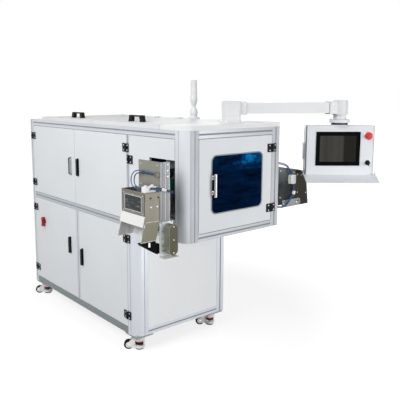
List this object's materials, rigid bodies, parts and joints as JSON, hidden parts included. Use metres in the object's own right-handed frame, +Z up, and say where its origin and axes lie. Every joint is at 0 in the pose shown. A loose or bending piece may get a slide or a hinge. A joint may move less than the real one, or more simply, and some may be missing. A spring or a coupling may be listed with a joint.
{
  "type": "screw counting machine",
  "caption": "Screw counting machine: slotted-bar cabinet on levelling casters with hinged doors and lids, vibratory lanes, side outlets and a swinging operator panel.",
  "frame": {"origin": "on the floor, under the middle of the upper cabinet's plan", "axes": "+X to the right and +Y to the back when facing the window door, +Z up"},
  "size_m": [1.7406, 2.5904, 1.885],
  "materials": {
    "bars": "satin anodised aluminium",
    "white_sheet": "white powder coat, satin",
    "white_cover": "white powder coat, satin",
    "black_cast": "black powder coat, satin",
    "caster_plate": "dark grey enamel, satin",
    "frosted": "frosted white plastic",
    "arm_paint": "pale grey enamel, satin",
    "stainless": "brushed stainless steel",
    "drive_paint": "blue machine enamel, satin",
    "camera_black": "black anodised aluminium",
    "sight_frame": "grey frame round a dark pane",
    "actuator": "black anodised and cast aluminium",
    "fitting": "white and grey push-in fittings",
    "air_tube": "bonded twin polyurethane tube, blue and navy",
    "bucket": "black moulded plastic",
    "control": "zinc plate with grey modules",
    "gland": "black nylon",
    "pane": "dark blue tinted acrylic",
    "silver": "silver painted zinc and polished bar",
    "red": "red plastic, satin gloss",
    "screen": "black glass front",
    "caster_body": "off-white nylon",
    "caster_wheel": "black nylon and rubber",
    "caster_foot": "red dial over a black rubber pad"
  },
  "bodies": {
    "cabinet": {"frame": "bars", "fixed_panels": "white_sheet", "top_covers": "white_cover", "hinge_frame_leaves": "black_cast", "caster_plates": "caster_plate", "tower_light": "frosted", "arm_base": "arm_paint", "storage_hopper": "stainless", "feeder_drives": "drive_paint", "vision_units": "camera_black", "drop_chutes": "stainless", "outlet_hoppers": "stainless", "outlet_window": "sight_frame", "outlet_brackets": "stainless", "outlet_actuators": "actuator", "push_fittings": "fitting", "air_tubes_left": "air_tube", "air_tubes_right": "air_tube", "bucket_drive": "stainless", "control_panel": "control", "rear_inlets": "gland"},
    "upper_rear_door": {"upper_rear_door": "white_sheet", "upper_rear_door_fittings": "black_cast"},
    "upper_front_door": {"upper_front_door": "white_sheet", "upper_front_door_fittings": "black_cast"},
    "outlet_door": {"outlet_door": "white_sheet", "outlet_door_hinges": "black_cast"},
    "lower_rear_door": {"lower_rear_door": "white_sheet", "lower_rear_door_fittings": "black_cast"},
    "isolator": {"isolator_handle": "red"},
    "lower_front_door": {"lower_front_door": "white_sheet", "lower_front_door_fittings": "black_cast"},
    "window_door": {"window_door": "white_sheet", "window_pane": "pane", "window_door_fittings": "silver"},
    "front_lid": {"front_lid": "white_cover", "front_lid_handle": "black_cast"},
    "rear_lid": {"rear_lid": "white_cover", "rear_lid_handle": "black_cast"},
    "panel_arm": {"panel_arm": "arm_paint"},
    "panel": {"panel_box": "arm_paint", "panel_screen": "screen"},
    "stop_button": {"stop_button": "red"},
    "key_switch": {"key_switch": "gland"},
    "feeder_tray": {"feeder_tray": "stainless"},
    "gate_left": {"outlet_gate_left": "stainless"},
    "gate_right": {"outlet_gate_right": "stainless"},
    "bucket": {"swing_bucket": "bucket"},
    "caster_body_front_left": {"caster_body_front_left": "caster_body"},
    "caster_wheel_front_left": {"caster_wheel_front_left": "caster_wheel"},
    "caster_foot_front_left": {"caster_foot_front_left": "caster_foot"},
    "caster_body_front_right": {"caster_body_front_right": "caster_body"},
    "caster_wheel_front_right": {"caster_wheel_front_right": "caster_wheel"},
    "caster_foot_front_right": {"caster_foot_front_right": "caster_foot"},
    "caster_body_rear_left": {"caster_body_rear_left": "caster_body"},
    "caster_wheel_rear_left": {"caster_wheel_rear_left": "caster_wheel"},
    "caster_foot_rear_left": {"caster_foot_rear_left": "caster_foot"},
    "caster_body_rear_right": {"caster_body_rear_right": "caster_body"},
    "caster_wheel_rear_right": {"caster_wheel_rear_right": "caster_wheel"},
    "caster_foot_rear_right": {"caster_foot_rear_right": "caster_foot"}
  },
  "joints": [
    {"name": "upper_rear_door_hinge", "type": "hinge", "parent": "cabinet", "child": "upper_rear_door", "pos_m": [-0.414, 1.0025, 1.227], "axis": [0, 0, -1], "range_deg": [0, 110]},
    {"name": "upper_front_door_hinge", "type": "hinge", "parent": "cabinet", "child": "upper_front_door", "pos_m": [-0.414, -0.4395, 1.227], "axis": [0, 0, 1], "range_deg": [0, 110]},
    {"name": "outlet_door_hinge", "type": "hinge", "parent": "cabinet", "child": "outlet_door", "pos_m": [-0.414, -0.4675, 1.227], "axis": [0, 0, -1], "range_deg": [0, 20]},
    {"name": "lower_rear_door_hinge", "type": "hinge", "parent": "cabinet", "child": "lower_rear_door", "pos_m": [-0.414, 1.0025, 0.527], "axis": [0, 0, -1], "range_deg": [0, 110]},
    {"name": "lower_front_door_hinge", "type": "hinge", "parent": "cabinet", "child": "lower_front_door", "pos_m": [-0.414, -0.4305, 0.527], "axis": [0, 0, 1], "range_deg": [0, 110]},
    {"name": "window_door_hinge", "type": "hinge", "parent": "cabinet", "child": "window_door", "pos_m": [0.3355, -1.061, 1.227], "axis": [0, 0, 1], "range_deg": [0, 110]},
    {"name": "front_lid_hinge", "type": "hinge", "parent": "cabinet", "child": "front_lid", "pos_m": [0.2845, -0.399, 1.598], "axis": [0, 1, 0], "range_deg": [0, 80]},
    {"name": "rear_lid_hinge", "type": "hinge", "parent": "cabinet", "child": "rear_lid", "pos_m": [0.2845, 0.411, 1.598], "axis": [0, 1, 0], "range_deg": [0, 80]},
    {"name": "arm_swivel", "type": "hinge", "parent": "cabinet", "child": "panel_arm", "pos_m": [0.098, -0.907, 1.677], "axis": [0, 0, 1], "range_deg": [-70, 0]},
    {"name": "panel_swivel", "type": "hinge", "parent": "panel_arm", "child": "panel", "pos_m": [0.80945, -1.23876, 1.607], "axis": [0, 0, 1], "range_deg": [0, 60]},
    {"name": "stop_button_press", "type": "slide", "parent": "panel", "child": "stop_button", "axis": [0.6428, 0.766, 0], "range_m": [0, 0.0045], "stiffness_N_per_m": 1500},
    {"name": "key_turn", "type": "hinge", "parent": "panel", "child": "key_switch", "pos_m": [0.93005, -1.39217, 1.313], "axis": [-0.6428, -0.766, 0], "range_deg": [0, 90]},
    {"name": "isolator_turn", "type": "hinge", "parent": "lower_rear_door", "child": "isolator", "pos_m": [-0.417, 0.838, 0.696], "axis": [-1, 0, 0], "range_deg": [0, 90]},
    {"name": "feeder_shake", "type": "slide", "parent": "cabinet", "child": "feeder_tray", "axis": [0, -1, 0], "range_m": [-0.001, 0.001], "stiffness_N_per_m": 400000},
    {"name": "gate_left_flap", "type": "hinge", "parent": "cabinet", "child": "gate_left", "pos_m": [-0.586, -0.864, 1.162], "axis": [0, 1, 0], "range_deg": [0, 60]},
    {"name": "gate_right_flap", "type": "hinge", "parent": "cabinet", "child": "gate_right", "pos_m": [0.586, -0.864, 1.162], "axis": [0, -1, 0], "range_deg": [0, 60]},
    {"name": "bucket_swing", "type": "hinge", "parent": "cabinet", "child": "bucket", "pos_m": [-0.539, -1.024, 0.897], "axis": [0, -1, 0], "range_deg": [0, 35]},
    {"name": "caster_swivel_front_left", "type": "hinge", "parent": "cabinet", "child": "caster_body_front_left", "pos_m": [-0.333, -0.458, 0.097], "axis": [0, 0, 1], "continuous": true},
    {"name": "caster_roll_front_left", "type": "hinge", "parent": "caster_body_front_left", "child": "caster_wheel_front_left", "pos_m": [-0.39206, -0.41017, 0.033], "axis": [0.6293, 0.7771, 0], "continuous": true},
    {"name": "caster_level_front_left", "type": "slide", "parent": "caster_body_front_left", "child": "caster_foot_front_left", "axis": [0, 0, -1], "range_m": [0, 0.012]},
    {"name": "caster_swivel_front_right", "type": "hinge", "parent": "cabinet", "child": "caster_body_front_right", "pos_m": [0.333, -0.458, 0.097], "axis": [0, 0, 1], "continuous": true},
    {"name": "caster_roll_front_right", "type": "hinge", "parent": "caster_body_front_right", "child": "caster_wheel_front_right", "pos_m": [0.27394, -0.41017, 0.033], "axis": [0.6293, 0.7771, 0], "continuous": true},
    {"name": "caster_level_front_right", "type": "slide", "parent": "caster_body_front_right", "child": "caster_foot_front_right", "axis": [0, 0, -1], "range_m": [0, 0.012]},
    {"name": "caster_swivel_rear_left", "type": "hinge", "parent": "cabinet", "child": "caster_body_rear_left", "pos_m": [-0.333, 0.98, 0.097], "axis": [0, 0, 1], "continuous": true},
    {"name": "caster_roll_rear_left", "type": "hinge", "parent": "caster_body_rear_left", "child": "caster_wheel_rear_left", "pos_m": [-0.39206, 1.02783, 0.033], "axis": [0.6293, 0.7771, 0], "continuous": true},
    {"name": "caster_level_rear_left", "type": "slide", "parent": "caster_body_rear_left", "child": "caster_foot_rear_left", "axis": [0, 0, -1], "range_m": [0, 0.012]},
    {"name": "caster_swivel_rear_right", "type": "hinge", "parent": "cabinet", "child": "caster_body_rear_right", "pos_m": [0.333, 0.98, 0.097], "axis": [0, 0, 1], "continuous": true},
    {"name": "caster_roll_rear_right", "type": "hinge", "parent": "caster_body_rear_right", "child": "caster_wheel_rear_right", "pos_m": [0.27394, 1.02783, 0.033], "axis": [0.6293, 0.7771, 0], "continuous": true},
    {"name": "caster_level_rear_right", "type": "slide", "parent": "caster_body_rear_right", "child": "caster_foot_rear_right", "axis": [0, 0, -1], "range_m": [0, 0.012]}
  ]
}
